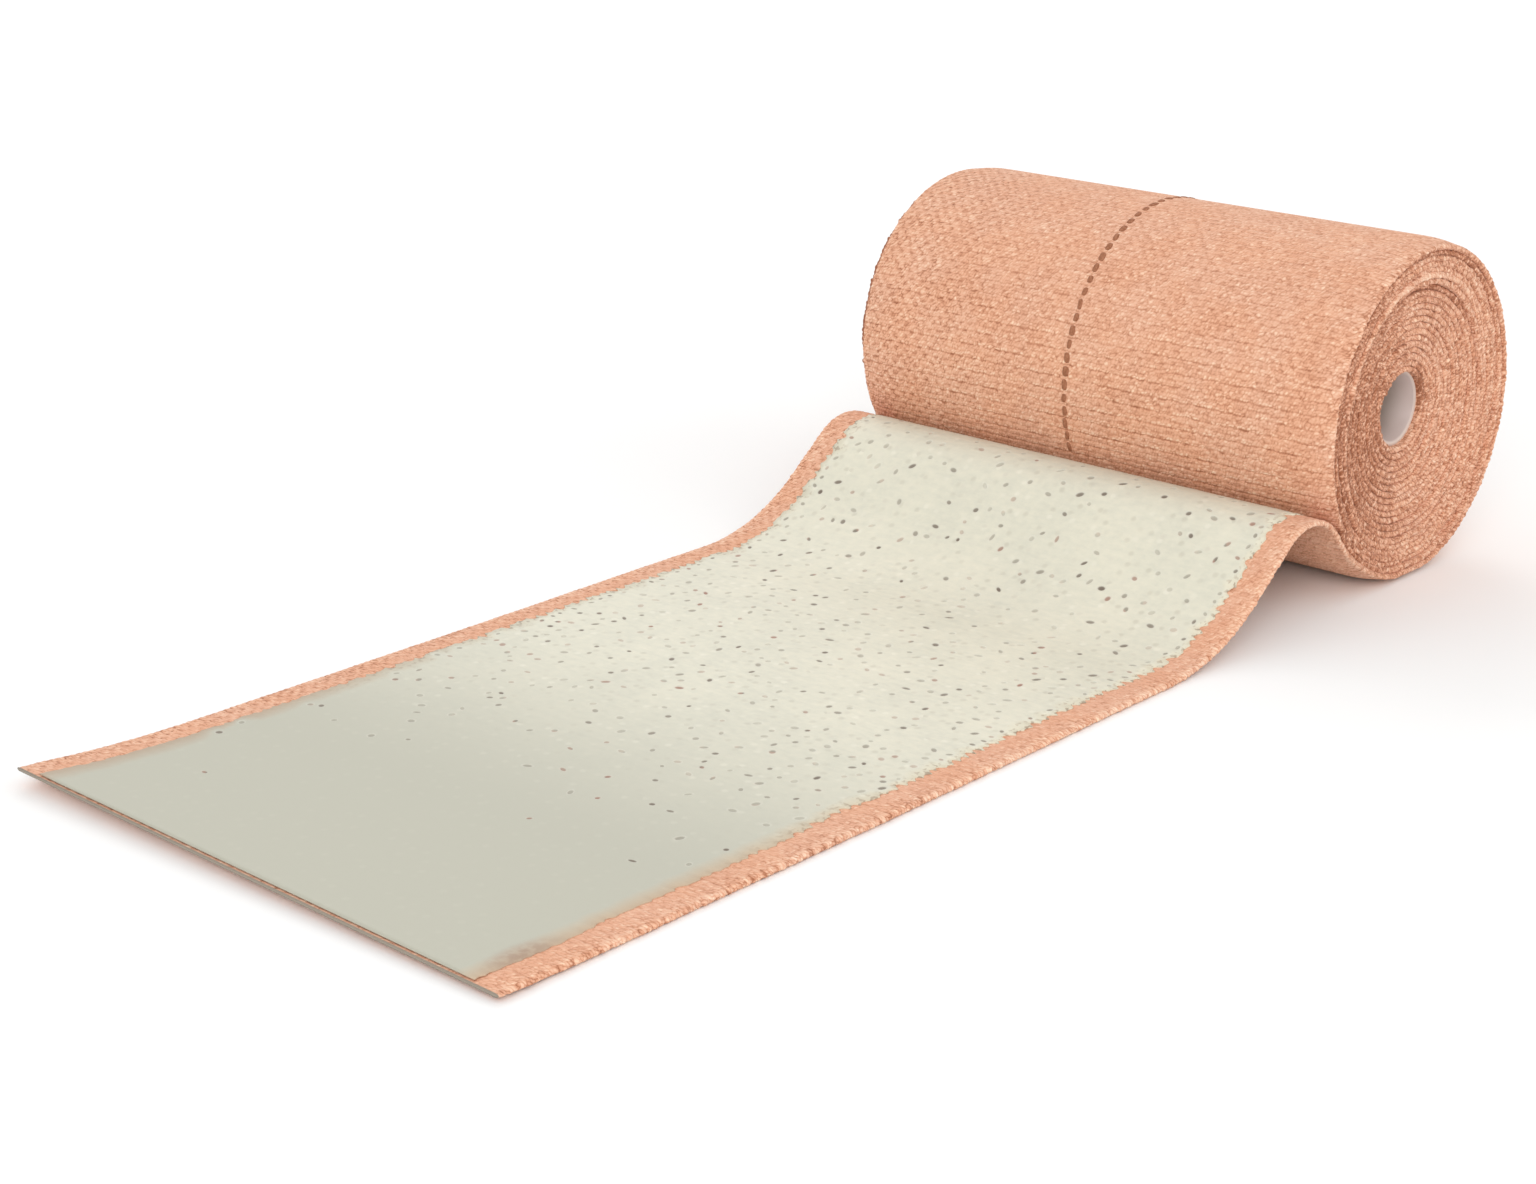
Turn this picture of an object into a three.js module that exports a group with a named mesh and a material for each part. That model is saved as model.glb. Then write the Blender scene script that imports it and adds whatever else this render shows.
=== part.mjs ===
// An elastic adhesive bandage: a long strip of cloth wound on a thin core, its last stretch unrolled.
// Millimetres, +Z up. The roll's axis runs along Y, with the dished end towards -Y. The loose end
// leaves the roll near its lowest line and runs out along -X, with its adhesive side up.
import * as THREE from 'three';

// Driving dimensions of the strip and the core
const BAND_WIDTH = 100; // across the strip, so each turn is this long along Y
const CLOTH = 1.1; // thickness of the cloth with its adhesive coat
const LOOSE_LENGTH = 195; // length of strip that is off the roll
const CORE_BORE_RADIUS = 5.9;
const CORE_WALL = 0.9;
const CORE_RECESS = 1; // the core ends this far inside the innermost turn
const GAP = 0.3; // clearance between neighbouring pieces

// The wound form
const ROLL_RADIUS = 30; // out to the last turn's outer face, where it leaves the roll
const FLAT_SPOT_DEPTH = 0.5; // how far the roll is pressed flat where it rests
const RIM_ROUNDING = 0.8; // the last turn's edge is rounded over at both ends
const ROLL_SEGMENTS = 80;
const STEP_RUN = 0.4; // the last turn's step is this long round the roll

// How far the turns are pushed along the axis, from the rim to the core. Each turn keeps the strip's
// width, so the near end is dished by this and the far end stands out by as much.
const TURN_SHIFT = [
  { share: 1.0, shift: 0 }, // share of the way from the bore to the rim
  { share: 0.9, shift: 0.2 },
  { share: 0.885, shift: 0.9 },
  { share: 0.72, shift: 1.3 },
  { share: 0.58, shift: 1.9 },
  { share: 0.565, shift: 2.5 },
  { share: 0.28, shift: 3.4 },
  { share: 0.0, shift: 4 },
];

// The loose end's course: it stays stuck up to the peel line, arches over and comes down to lie flat
const PEEL_ANGLE = THREE.MathUtils.degToRad(55); // from the roll's lowest line to the peel line
const CREST_RADIUS = 11;
const SLOPE_ANGLE = THREE.MathUtils.degToRad(38);
const FOOT_RADIUS = 38;
const BEND_STEP = THREE.MathUtils.degToRad(6);
const CURL_LENGTH = 30; // the cut end curls up a little over this length
const CURL_STEPS = 5;
const CURL_LIFT_NEAR = 0.4;
const CURL_LIFT_FAR = 2;
const WIDTH_STEPS = 8;

// Sizes that follow
const CORE_RADIUS = CORE_BORE_RADIUS + CORE_WALL;
const BORE_RADIUS = CORE_RADIUS + GAP;
const AXIS_HEIGHT = ROLL_RADIUS - FLAT_SPOT_DEPTH;
const CORE_SHIFT = TURN_SHIFT[TURN_SHIFT.length - 1].shift;

const part = new THREE.Group();

function addMesh(name, geometry, color, roughness) {
  const material = new THREE.MeshStandardMaterial({ color, roughness, metalness: 0 });
  const mesh = new THREE.Mesh(geometry, material);
  mesh.name = name;
  part.add(mesh);
  return mesh;
}

// The roll's half section, as radius and place along the axis: up one end face from the bore to the
// rim, along the outer face, and back down the other end face to the bore.
function rollSection() {
  const faceRadius = (share) => THREE.MathUtils.lerp(BORE_RADIUS, ROLL_RADIUS - RIM_ROUNDING, share);
  const face = [...TURN_SHIFT].reverse();
  const far = face.map((row) => new THREE.Vector2(faceRadius(row.share), BAND_WIDTH / 2 + row.shift));
  const near = face.map((row) => new THREE.Vector2(faceRadius(row.share), row.shift - BAND_WIDTH / 2));
  const rim = (side) => [
    new THREE.Vector2(ROLL_RADIUS - 0.3 * RIM_ROUNDING, side * (BAND_WIDTH / 2 - 0.3 * RIM_ROUNDING)),
    new THREE.Vector2(ROLL_RADIUS, side * (BAND_WIDTH / 2 - RIM_ROUNDING)),
  ];
  return [...near, ...rim(-1), ...rim(1).reverse(), ...far.reverse(), near[0].clone()];
}

// Winds the turned form: the outer face becomes one turn of a spiral that steps down by the cloth's
// thickness at the peel line, and the lowest stretch is pressed flat.
function windTurns(geometry) {
  const positions = geometry.getAttribute('position');
  const step = STEP_RUN / ROLL_RADIUS;
  for (let i = 0; i < positions.count; i += 1) {
    const column = Math.floor(i / (positions.count / (ROLL_SEGMENTS + 1))) % ROLL_SEGMENTS;
    const radius = Math.hypot(positions.getX(i), positions.getZ(i));
    const wound = column === 0 ? 1 : (column - 1) / (ROLL_SEGMENTS - 1);
    const turned = column === 0 ? 0 : step + (2 * Math.PI - step) * wound;
    const depth = (radius - BORE_RADIUS) / (ROLL_RADIUS - BORE_RADIUS);
    const spiral = radius - CLOTH * (1 - wound) * depth;
    const angle = Math.PI + PEEL_ANGLE + turned;
    positions.setX(i, spiral * Math.sin(angle));
    positions.setZ(i, Math.max(spiral * Math.cos(angle), -AXIS_HEIGHT));
  }
}

function woundRoll() {
  const geometry = new THREE.LatheGeometry(rollSection(), ROLL_SEGMENTS);
  windTurns(geometry);
  const mesh = addMesh('wound_roll', geometry, 0xe0a07c, 0.95);
  mesh.position.z = AXIS_HEIGHT;
}

function core() {
  const start = CORE_SHIFT + CORE_RECESS - BAND_WIDTH / 2;
  const end = CORE_SHIFT - CORE_RECESS + BAND_WIDTH / 2;
  const section = [
    new THREE.Vector2(CORE_BORE_RADIUS, start),
    new THREE.Vector2(CORE_RADIUS, start),
    new THREE.Vector2(CORE_RADIUS, end),
    new THREE.Vector2(CORE_BORE_RADIUS, end),
    new THREE.Vector2(CORE_BORE_RADIUS, start),
  ];
  const mesh = addMesh('core', new THREE.LatheGeometry(section, ROLL_SEGMENTS / 2), 0xe8e6e2, 0.6);
  mesh.position.z = AXIS_HEIGHT;
}

// Walks along the middle of the loose end's thickness, from the peel line to the cut end. Each point
// keeps its heading, which is the slope above the -X direction.
function looseCourse() {
  const startAngle = PEEL_ANGLE + (STEP_RUN + GAP) / ROLL_RADIUS;
  const startRadius = ROLL_RADIUS - CLOTH / 2 + GAP;
  const point = {
    x: -startRadius * Math.sin(startAngle),
    z: AXIS_HEIGHT - startRadius * Math.cos(startAngle),
    heading: startAngle,
  };
  const course = [{ ...point }];
  let used = 0;
  const walk = (length, bend, steps) => {
    for (let i = 0; i < steps; i += 1) {
      const middle = point.heading + bend / steps / 2;
      const chord = bend === 0 ? length / steps : (2 * length / bend) * Math.sin(bend / steps / 2);
      point.x -= chord * Math.cos(middle);
      point.z += chord * Math.sin(middle);
      point.heading += bend / steps;
      course.push({ ...point });
    }
    used += length;
  };
  const crestBend = startAngle + SLOPE_ANGLE;
  walk(CREST_RADIUS * crestBend, -crestBend, Math.ceil(crestBend / BEND_STEP));
  const footDrop = FOOT_RADIUS * (1 - Math.cos(SLOPE_ANGLE));
  walk((point.z - CLOTH / 2 - footDrop) / Math.sin(SLOPE_ANGLE), 0, 1);
  walk(FOOT_RADIUS * SLOPE_ANGLE, SLOPE_ANGLE, Math.ceil(SLOPE_ANGLE / BEND_STEP) + 2);
  walk(LOOSE_LENGTH - CURL_LENGTH - used, 0, 3);
  walk(CURL_LENGTH, 0, CURL_STEPS);
  return course;
}

// The cut end curls up, more at its far corner. The geometry's Y is height here and its Z runs
// across the strip, from the far edge at 0 to the near edge at the strip's width.
function curlCutEnd(geometry, endX) {
  const positions = geometry.getAttribute('position');
  for (let i = 0; i < positions.count; i += 1) {
    const along = 1 - (positions.getX(i) - endX) / CURL_LENGTH;
    const lift = THREE.MathUtils.lerp(CURL_LIFT_FAR, CURL_LIFT_NEAR, positions.getZ(i) / BAND_WIDTH);
    if (along > 0) {
      positions.setY(i, positions.getY(i) + lift * along * along);
    }
  }
}

function looseEnd() {
  const course = looseCourse();
  const offset = (side) => course.map((point) => new THREE.Vector2(
    point.x + side * (CLOTH / 2) * Math.sin(point.heading),
    point.z + side * (CLOTH / 2) * Math.cos(point.heading),
  ));
  const outline = new THREE.Shape([...offset(-1), ...offset(1).reverse()]);
  const geometry = new THREE.ExtrudeGeometry(outline, {
    depth: BAND_WIDTH,
    steps: WIDTH_STEPS,
    bevelEnabled: false,
  });
  curlCutEnd(geometry, course[course.length - 1].x);
  const mesh = addMesh('loose_end', geometry, 0xe0e0ce, 0.8);
  mesh.rotation.x = Math.PI / 2;
  mesh.position.y = BAND_WIDTH / 2;
}

woundRoll();
core();
looseEnd();

// The origin is the middle of the whole bandage's footprint, on the surface that it rests on
const box = new THREE.Box3().setFromObject(part);
const middle = box.getCenter(new THREE.Vector3());
part.position.set(-middle.x, -middle.y, 0);

export default part;
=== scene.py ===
# An elastic adhesive bandage roll: the fine turns, the weave, the adhesive coat and the guide line.
import math
from types import SimpleNamespace

import bpy
import numpy as np
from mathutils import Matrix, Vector, geometry


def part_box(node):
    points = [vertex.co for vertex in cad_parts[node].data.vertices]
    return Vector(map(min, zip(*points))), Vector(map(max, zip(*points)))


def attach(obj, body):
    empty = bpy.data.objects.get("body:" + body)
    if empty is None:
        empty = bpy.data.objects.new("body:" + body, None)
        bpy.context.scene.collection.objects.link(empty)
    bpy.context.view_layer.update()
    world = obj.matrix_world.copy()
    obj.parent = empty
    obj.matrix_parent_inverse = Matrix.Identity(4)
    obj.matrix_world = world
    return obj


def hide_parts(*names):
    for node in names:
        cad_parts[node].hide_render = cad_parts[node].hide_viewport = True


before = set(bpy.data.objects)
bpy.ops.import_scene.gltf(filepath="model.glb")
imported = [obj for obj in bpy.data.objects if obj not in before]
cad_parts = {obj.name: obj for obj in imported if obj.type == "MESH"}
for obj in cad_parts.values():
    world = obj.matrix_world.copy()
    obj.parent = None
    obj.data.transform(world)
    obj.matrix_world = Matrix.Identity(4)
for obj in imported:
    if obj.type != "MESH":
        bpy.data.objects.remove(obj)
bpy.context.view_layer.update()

MM = 0.001
TURN = 2 * math.pi

# The strip's own sizes, which repeat those of the solids
CLOTH = 1.0 * MM  # thickness of one turn
PITCH = 1.1 * MM  # how far each turn lies outside the one before
ROLL_RADIUS = 30 * MM
BORE_RADIUS = 7.1 * MM
OUTER_MIDDLE = ROLL_RADIUS - PITCH / 2  # middle radius of the last turn where it leaves the roll
RISE = PITCH / TURN  # the turns' radius grows by this with each radian
FLAT_SPOT_DEPTH = 0.5 * MM
LOOSE_LENGTH = 195.7 * MM
PEEL_ANGLE = math.radians(55)
CREST_RADIUS = 11 * MM
SLOPE_ANGLE = math.radians(38)
FOOT_RADIUS = 38 * MM
CURL_LENGTH = 30 * MM
CURL_LIFT_NEAR = 0.4 * MM
CURL_LIFT_FAR = 2 * MM
COURSE_POINTS = 4001  # the loose end's course is worked out at this many places

# How far the turns are pushed along the axis, against their share of the way from the bore to the rim
SHIFT_SHARES = [0.0, 0.28, 0.565, 0.58, 0.72, 0.885, 0.9, 1.0]
SHIFTS = [4.0 * MM, 3.4 * MM, 2.5 * MM, 1.9 * MM, 1.3 * MM, 0.9 * MM, 0.2 * MM, 0.0]

# Places in the frame
core_low, core_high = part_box("core")
loose_low, loose_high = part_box("loose_end")
AXIS_X = (core_low.x + core_high.x) / 2
AXIS_Z = (core_low.z + core_high.z) / 2
NEAR_Y = loose_low.y
BAND_WIDTH = loose_high.y - loose_low.y
REST_Z = AXIS_Z - ROLL_RADIUS + FLAT_SPOT_DEPTH

# The cloth's grain
STATION = 0.3 * MM  # spacing of the cross sections along the strip
RIB = 1.175 * MM  # ribs run across the strip, in pairs with a deeper groove between pairs
KNOT = RIB / 2  # two rows of knots to a rib
CELL = 0.62 * MM  # the knots along a rib
COLUMN = 1.2 * MM  # light and dark spots take turns at this step across the strip, and swap at each rib
STRAND = 0.24  # the yarns' twist, in mm along the strip
RIB_RISE = 0.06 * MM
LOOP = 1.15 * MM  # the loops of the fast edges
LOOP_REACH = 0.26 * MM
EDGE_ROUND = 0.45 * MM
KNOB_RISE = 0.1 * MM  # knots along the margins, as far apart as the loops
KNOB_REACH = 3.4 * MM  # they fade out this far in from the edge
KNOB_FADE = 1.2 * MM

# The inner turns' edges, which are fluffier and closer together
TURN_STATION = 0.25 * MM
TURN_LOOP = 0.85 * MM
TURN_LOOP_REACH = 0.34 * MM
TURN_LOOP_LEAN = 0.27 * MM
TURN_EDGE_ROUND = 0.25 * MM
TURN_EDGE_POINTS = 5

# Turns that are pushed in more than their neighbours, or stand out: their share of the way to the rim, how
# far they are pushed, and how much painted shade they get (below 0, painted highlight). Most of it is
# towards this angle round the axis.
SET_BACK = [(0.915, 1.5 * MM, 1.1), (0.7, -0.5 * MM, -0.85), (0.61, 1.1 * MM, 0.9)]
SET_BACK_REACH = 0.024
SET_BACK_ANGLE = math.radians(-40)

# Shade that the turns' edges hold: on their left, and on the innermost turn towards this angle
LEFT_SHADE = 0.46
HOLE_SHADE = 0.8
HOLE_SHADE_REACH = 0.035
HOLE_SHADE_ANGLE = math.radians(58)

# The cut end is pressed thinner by this share, over this length
END_THINNING = 0.45
END_THINNING_REACH = 3 * MM

# The rim sags in towards the axis at both ends, and only where the strip is wound
SAG = 0.8 * MM
SAG_REACH = 2.8 * MM
SAG_SHARE = 0.3  # outer share of the turns
SAG_EASE = 12 * MM

# The adhesive coat
MARGIN = 4.6 * MM  # bare cloth along each edge
NOTCH = 1.9 * MM
NOTCH_DEPTH = 1.15 * MM
COAT_START = 1.5 * MM  # just clear of the roll, where the strip comes off it
COAT_END_GAP = 0.15 * MM  # from the cut end
COAT_STATION = 0.3 * MM
COAT_RISE = 0.15 * MM  # the coat's top stands this far off the cloth
COAT_SINK = 0.06 * MM  # and its underside lies this far inside it
GRID_STEP = (1.2 * MM, 3.2 * MM)  # points within the coat, along the strip and across it
GRID_SCATTER = 0.2 * MM
FLAT_SCALE = 1000.0  # flat places are filled with triangles at this scale
PINHOLES = 640
PINHOLE_REACH = 140 * MM  # the last flat stretch has next to none
PINHOLE_RIM = 1.45  # a pinhole's rim reaches this many times as far as the hole
PINHOLE_GAP = 0.15 * MM  # between two rims
RIM_POINTS = 12

# The rings down into a pinhole: share of its size, height above the coat, how dark the pit is painted, and
# how much painted highlight its rim gets
PIT_RINGS = [(1.0, 0.015 * MM, 0.15, 1.0), (0.72, -0.09 * MM, 0.9, 0.0), (0.4, -0.13 * MM, 1.0, 0.0)]

# The guide line
DASH_PERIOD = 2 * RIB
DASH_LENGTH = 1.75 * MM
DASH_WIDTH = 1.15 * MM
DASH_HEIGHT = 0.36 * MM
DASH_LIFT = 0.02 * MM  # its middle lies this far outside the cloth
LINE_OFFSET = 3.6 * MM  # from the strip's middle towards its far edge

# The core
CORE_WALL = 0.9 * MM
CORE_CLEARANCE = 0.05 * MM  # from the innermost turn
CORE_LIP = 0.3 * MM  # bevel of its edges
# Painted shade inside the core:
CORE_SHADE_DEPTH = 10 * MM  # it gets darker down to this depth
CORE_SIDES = 96

# Where the look changes, in mm along the strip from the peel line or across it from its near edge
LOW_ON_ROLL = (-140.0, -168.0)
FAR_END = (70.0, 104.0)
NEAR_RIM = (6.0, 22.0)
LAST_STRETCH = (95.0, 160.0)
STAIN_MIDDLE = (186.5, 5.6)
STAIN_SIZE = (9.0, 3.4)

# The stage and the camera, in metres and watts
FLOOR_REACH = 4.0
WORLD_STRENGTH = 0.86
LIGHTS = [
    # name, place, aim, size, power
    ("key", (-0.95, -0.7, 0.62), (0.0, 0.0, 0.02), 0.7, 6.0),
    ("fill", (0.5, -0.9, 0.45), (0.05, 0.0, 0.03), 0.8, 0.9),
    ("backdrop", (0.9, 1.1, 0.9), (0.9, 1.1, 0.0), 1.2, 7.5),
]
CAMERA_BEFORE_AXIS = 0.421
CAMERA_Y = -0.283
CAMERA_HEIGHT = 0.16
CAMERA_HEADING = math.radians(42.1)
CAMERA_LOOK_DOWN = math.radians(19.2)
CAMERA_LENS = 67

STRIP_MAP = "strip"  # the map that the patterns follow
BAKE_MAP = "OFBake"  # the map that an export bakes the finish through


def wander(rng, places, spacing, size):
    """A smooth random curve over these places, about `size` high, that turns about every `spacing`."""
    knots = np.arange(places.min() - spacing, places.max() + 3 * spacing, spacing)
    heights = rng.uniform(-size, size, len(knots))
    position = (places - knots[0]) / spacing
    before = np.floor(position).astype(int)
    part = position - before
    ease = part * part * (3 - 2 * part)
    return heights[before] * (1 - ease) + heights[before + 1] * ease


def bell(distance, reach):
    """1 at no distance, about a third at this reach, and nothing far beyond it."""
    return np.exp(-(distance / reach) ** 2)


def spiral(back):
    """The angle wound back and the turn's middle radius, this far back from the peel line."""
    turned = (OUTER_MIDDLE - np.sqrt(OUTER_MIDDLE * OUTER_MIDDLE - 2 * RISE * back)) / RISE
    return turned, OUTER_MIDDLE - RISE * turned


def wound_length(turns):
    """The strip's length on this many of the outermost turns."""
    return OUTER_MIDDLE * turns * TURN - RISE * (turns * TURN) ** 2 / 2


def last_turn_length():
    return wound_length(1)


def rim_share(radius):
    """How far out this radius is, from 0 at the bore to 1 at the rim."""
    return (radius - BORE_RADIUS) / (ROLL_RADIUS - BORE_RADIUS)


def angle_round(turned):
    """The angle round the axis, from its top, of a place wound back by this much."""
    return math.pi + PEEL_ANGLE - turned


def pressed(turned, angle, radius):
    """The radius once the roll's weight has pressed it flat on its lowest line."""
    outer = ROLL_RADIUS - PITCH * (turned % TURN) / TURN
    down = np.maximum(-np.cos(angle), 0.5)
    excess = np.maximum(0, outer - (AXIS_Z - REST_Z) / down)
    return radius - excess * rim_share(radius)


def wound_course(back):
    """x, z, heading and push along the axis on the wound length, this far back from the peel line."""
    turned, radius = spiral(back)
    angle = angle_round(turned)
    pressed_radius = pressed(turned, angle, radius)
    x = AXIS_X + pressed_radius * np.sin(angle)
    z = AXIS_Z + pressed_radius * np.cos(angle)
    return x, z, angle - math.pi, np.interp(rim_share(radius), SHIFT_SHARES, SHIFTS)


def loose_course(along):
    """x, z and heading on the loose end, this far along it from the peel line."""
    start_x = AXIS_X - OUTER_MIDDLE * math.sin(PEEL_ANGLE)
    start_z = AXIS_Z - OUTER_MIDDLE * math.cos(PEEL_ANGLE)
    crest = CREST_RADIUS * (PEEL_ANGLE + SLOPE_ANGLE)
    crest_end_z = start_z + CREST_RADIUS * (math.cos(SLOPE_ANGLE) - math.cos(PEEL_ANGLE))
    foot_rise = FOOT_RADIUS * (1 - math.cos(SLOPE_ANGLE))
    slope = (crest_end_z - REST_Z - PITCH / 2 - foot_rise) / math.sin(SLOPE_ANGLE)
    foot = FOOT_RADIUS * SLOPE_ANGLE
    marks = [0, crest, crest + slope, crest + slope + foot, LOOSE_LENGTH]
    fine = np.linspace(0, LOOSE_LENGTH, COURSE_POINTS)
    headings = np.interp(fine, marks, [PEEL_ANGLE, -SLOPE_ANGLE, -SLOPE_ANGLE, 0, 0])
    middle = (headings[1:] + headings[:-1]) / 2
    spacing = fine[1]
    xs = start_x - np.concatenate([[0], np.cumsum(np.cos(middle) * spacing)])
    zs = start_z + np.concatenate([[0], np.cumsum(np.sin(middle) * spacing)])
    return np.interp(along, fine, xs), np.interp(along, fine, zs), np.interp(along, fine, headings)


def strip_course(along):
    """x, z, heading and push along the axis anywhere on the strip; lengths below 0 are still wound."""
    wound = wound_course(np.maximum(-along, 0))
    loose = loose_course(np.maximum(along, 0))
    off_roll = along > 0
    x, z, heading = (np.where(off_roll, b, a) for a, b in zip(wound[:3], loose))
    return x, z, heading, np.where(off_roll, 0, wound[3])


def rim_sag(along, across):
    """How far the outer turns sag in near the roll's ends."""
    share = rim_share(spiral(np.maximum(-along, 0))[1])
    from_edge = np.clip(np.minimum(across, BAND_WIDTH - across), 0, None)
    outermost = np.clip((share - (1 - SAG_SHARE)) / SAG_SHARE, 0, 1)
    wound = np.clip(-along / SAG_EASE, 0, 1)
    return SAG * outermost * wound * bell(from_edge, SAG_REACH)


def place(along, across, out):
    """Points this far along the strip, across it from its near edge, and out on its adhesive side."""
    x, z, heading, shift = strip_course(along)
    out = out + rim_sag(along, across)
    curled = np.clip((along - LOOSE_LENGTH + CURL_LENGTH) / CURL_LENGTH, 0, None)
    lift = CURL_LIFT_NEAR + (CURL_LIFT_FAR - CURL_LIFT_NEAR) * across / BAND_WIDTH
    return np.stack([
        x + out * np.sin(heading),
        NEAR_Y + shift + across,
        z + out * np.cos(heading) + lift * curled * curled,
    ], axis=-1)


def new_piece(name, vertices, faces):
    mesh = bpy.data.meshes.new(name)
    mesh.from_pydata(vertices.tolist(), [], faces)
    mesh.validate()
    mesh.update()
    mesh.shade_smooth()
    piece = bpy.data.objects.new(name, mesh)
    bpy.context.scene.collection.objects.link(piece)
    return piece


def store(piece, shape, **layers):
    """Keeps numbers for the vertices, which the materials read by these names."""
    for name, values in layers.items():
        layer = piece.data.attributes.new(name, "FLOAT", "POINT")
        spread = np.broadcast_to(values, shape)
        layer.data.foreach_set("value", np.ascontiguousarray(spread, np.float32).ravel())


def add_map(piece, name, places):
    layer = piece.data.uv_layers.new(name=name)
    layer.uv.foreach_set("vector", np.ascontiguousarray(places, np.float32).ravel())


def tube_faces(stations, points):
    """Quads round a tube of closed sections, and its two end faces."""
    station = np.arange(stations - 1)[:, None] * points
    point = np.arange(points)[None, :]
    after = (point + 1) % points
    quads = np.stack([
        station + point, station + points + point, station + points + after, station + after,
    ], axis=-1).reshape(-1, 4)
    first = list(range(points))
    last = list(range((stations - 1) * points, stations * points))[::-1]
    return quads.tolist() + [first, last]


def tube_map(along, girth, across, out):
    """Length along a tube and length round it at every corner of its quads, and the flat end faces."""
    stations, points = girth.shape
    closing = np.hypot(across[:, 0] - across[:, -1], out[:, 0] - out[:, -1]).mean()
    whole = girth[:, -1:] + closing
    rounds = np.concatenate([girth, whole], axis=1)
    station = np.arange(stations - 1)[:, None]
    point = np.arange(points)[None, :]
    corner = [(station, point), (station + 1, point), (station + 1, point + 1), (station, point + 1)]
    quads = np.stack([
        np.stack(np.broadcast_arrays(along[s] + 0 * p, rounds[s, p]), axis=-1) for s, p in corner
    ], axis=-2)
    first = np.stack([along[0] + out[0], across[0]], axis=-1)
    last = np.stack([along[-1] + out[-1], across[-1]], axis=-1)[::-1].copy()
    return quads, first, last


def add_tube_map(piece, name, quads, first, last, unit):
    add_map(piece, name, np.concatenate([quads.reshape(-1, 2), first, last]) / unit)


def build_strip(name, along, across, out, steps):
    """A length of the strip with its map; `steps` are the distances between the section's points."""
    vertices = place(np.repeat(along[:, None], across.shape[1], axis=1), across, out)
    piece = new_piece(name, vertices.reshape(-1, 3), tube_faces(*across.shape))
    girth = np.broadcast_to(np.concatenate([[0], np.cumsum(steps)]), across.shape)
    maps = tube_map(along, girth, across, out)
    add_tube_map(piece, STRIP_MAP, *maps, MM)
    return piece, maps


def shelve(places, corner, scale=1.0):
    """Moves one block of a map so that it starts at this corner, which is in mm."""
    places[...] = (places - places.reshape(-1, 2).min(axis=0)) * scale + np.array(corner) * MM


def spread_strip_end(piece, quads, first, last, wound, margin, edge, face):
    """A map for baking: the roll's outside at full size, the underside smaller, what is hidden smallest.

    `wound` is the first quad that is off the roll, and the rest are points in each part of the section.
    """
    side = 187 * MM
    left, right = 0.5, 120
    near_end, far_start = margin + edge, margin + edge + face - 1
    outside = slice(margin - 1, margin + 2 * edge + face + 1)
    first[...] = first[:, ::-1]
    last[...] = last[:, ::-1]
    blocks = [
        # part of the tube, corner in the map, share of full size
        (quads[:wound, outside], (left, 0.5), 1.0),
        (quads[:wound, :outside.start], (right, 124), 0.3),
        (quads[:wound, outside.stop:], (right, 129), 0.2),
        (quads[wound:, :near_end], (left, 106), 0.94),
        (quads[wound:, far_start:-2], (left, 114.5), 0.94),
        (quads[wound:, near_end:far_start], (left, 124), 0.6),
        (quads[wound:, -2:], (right, 155), 0.2),
        (first, (right, 182), 0.6),
        (last, (right, 184), 0.6),
    ]
    for places, corner, scale in blocks:
        shelve(places, corner, scale)
    add_tube_map(piece, BAKE_MAP, quads, first, last, side)


def spread_turns(piece, quads, first, last, along, edge):
    """A map for baking: the turns' edges in rows, with the faces between turns squeezed above them."""
    side = 94 * MM
    inset = 0.3 * MM
    row_length, row_height = side - 0.8 * MM, 1.9 * MM
    squeezed_length, squeezed_height = side - 4 * MM, 0.5 * MM
    row = np.floor((along[:-1] - along[0]) / row_length)
    for order in (0, 1):
        block = quads[:, order * edge:(order + 1) * edge - 1]
        block[..., 0] -= (along[0] + row * row_length)[:, None, None]
        block[..., 1] -= block[..., 1].min()
        block[..., 1] += ((row + order * (row.max() + 1)) * row_height)[:, None, None]
        block += inset
        hidden = quads[:, (order + 1) * edge - 1]
        shelve(hidden, (0.3, 0))
        hidden[..., 0] *= squeezed_length / hidden[..., 0].max()
        hidden[..., 1] *= squeezed_height / hidden[..., 1].max()
        hidden[..., 1] += (92.2 + 0.8 * order) * MM
    shelve(first, (92, 92), 0.01)
    shelve(last, (93, 92), 0.01)
    add_tube_map(piece, BAKE_MAP, quads, first, last, side)


def loops(rng, along, spacing, reach):
    """How far the fast edge's loops stand out at these places, each loop a little different."""
    phase = along / spacing
    number = np.floor(phase).astype(int)
    number -= number.min()
    sizes = rng.uniform(0.35, 1.25, number.max() + 1)
    return reach * sizes[number] * np.sin(math.pi * (phase - np.floor(phase))) ** 0.7


def loop_steps(rng, along, spacing, size):
    """One random step for each loop."""
    number = np.floor(along / spacing).astype(int)
    number -= number.min()
    return rng.uniform(-size, size, number.max() + 1)[number]


def edge_profile(points):
    """Angles round a turned edge, from the adhesive side over the edge to the outer side."""
    return np.linspace(math.pi / 2, -math.pi / 2, points)


def push_turns(rng, along, share, toward):
    """How far the turns are pushed along the axis beyond their usual share."""
    push = wander(rng, along, 45 * MM, 0.16 * MM) + wander(rng, along, 7 * MM, 0.12 * MM)
    for middle, depth, _ in SET_BACK:
        push += depth * (0.5 + 0.5 * toward) * bell(share - middle, SET_BACK_REACH)
    return push


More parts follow.
